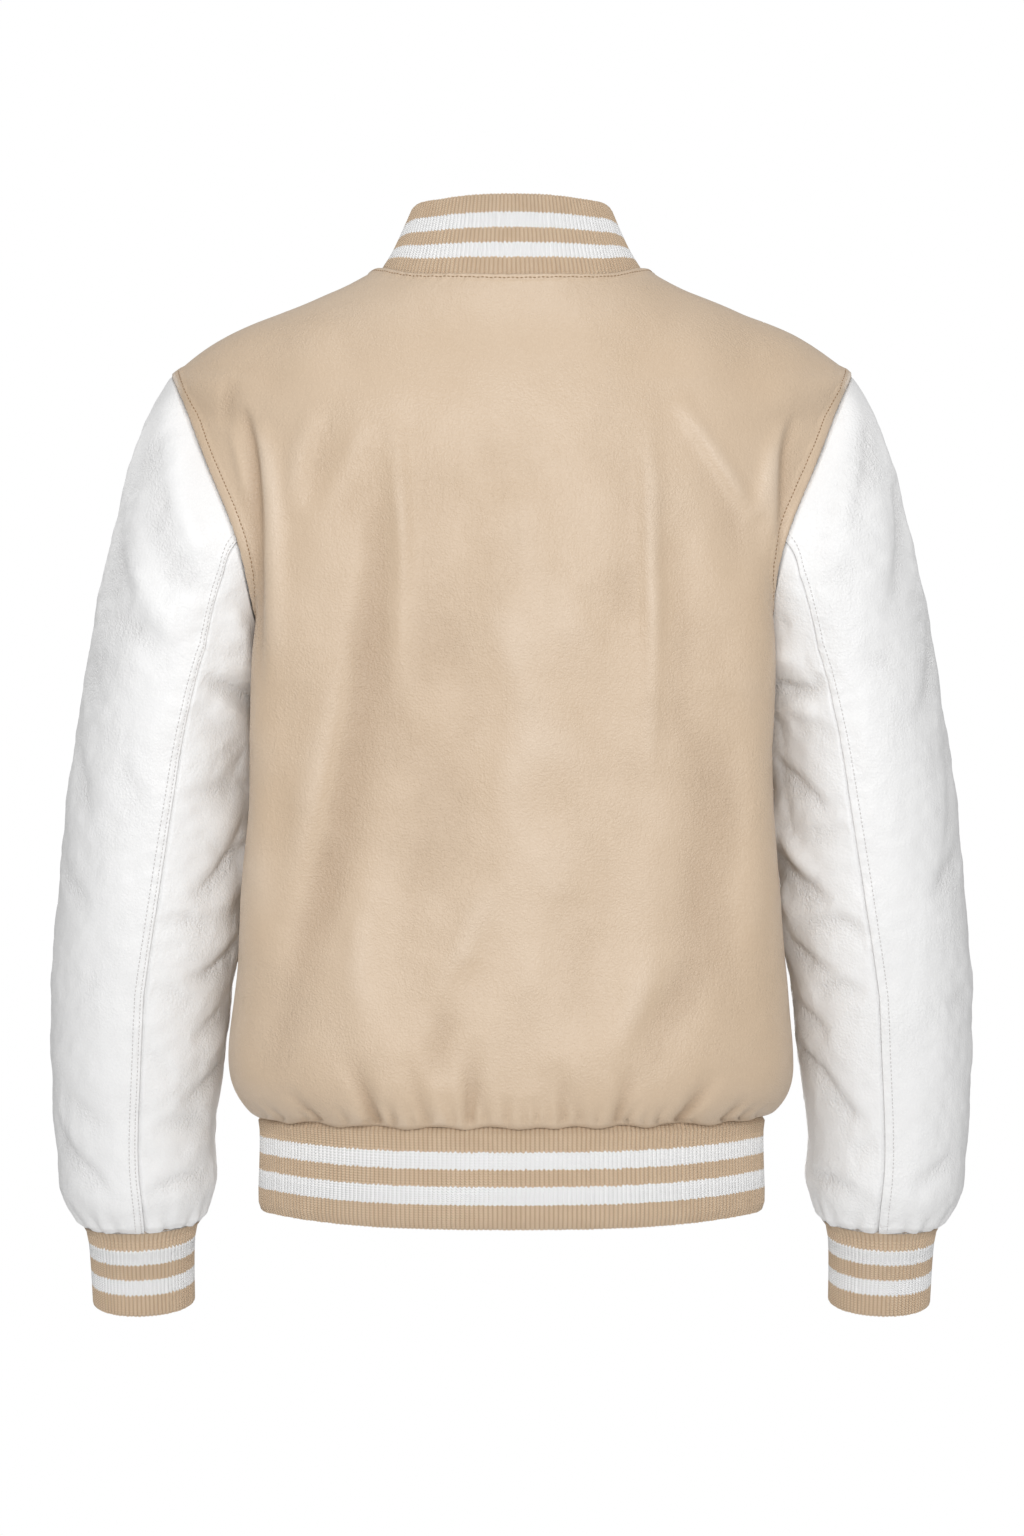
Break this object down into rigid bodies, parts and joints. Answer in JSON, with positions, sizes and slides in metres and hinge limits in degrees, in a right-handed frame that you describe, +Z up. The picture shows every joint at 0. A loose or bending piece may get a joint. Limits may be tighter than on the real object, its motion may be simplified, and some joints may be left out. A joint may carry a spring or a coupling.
{
  "type": "varsity jacket",
  "caption": "Waist-length varsity jacket in the hollow form of wear, with tan leather body, white leather sleeves, snap front, and striped rib-knit collar, hem band and cuffs.",
  "frame": {"origin": "on the jacket's centre line, between the shoulders at the height of the neck seam's sides, where the wearer's shoulders carry it", "axes": "+Z up; the front faces -Y and the back faces +Y; the wearer's left is +X"},
  "size_m": [0.647, 0.2488, 0.785],
  "materials": {
    "tan_leather": "satin, fine grain",
    "white_leather": "satin, smooth",
    "rib_knit": "matt rib knit, tan with two white stripes",
    "snap_metal": "satin"
  },
  "bodies": {
    "root": {"back": "tan_leather", "front_left": "tan_leather", "front_right": "tan_leather", "sleeve_left_upper": "white_leather", "sleeve_left_under": "white_leather", "sleeve_right_upper": "white_leather", "sleeve_right_under": "white_leather", "collar": "rib_knit", "hem_band": "rib_knit", "cuff_left": "rib_knit", "cuff_right": "rib_knit", "snap_1": "snap_metal", "snap_2": "snap_metal", "snap_3": "snap_metal", "snap_4": "snap_metal", "snap_5": "snap_metal", "snap_6": "snap_metal", "snap_7": "snap_metal"}
  },
  "joints": []
}
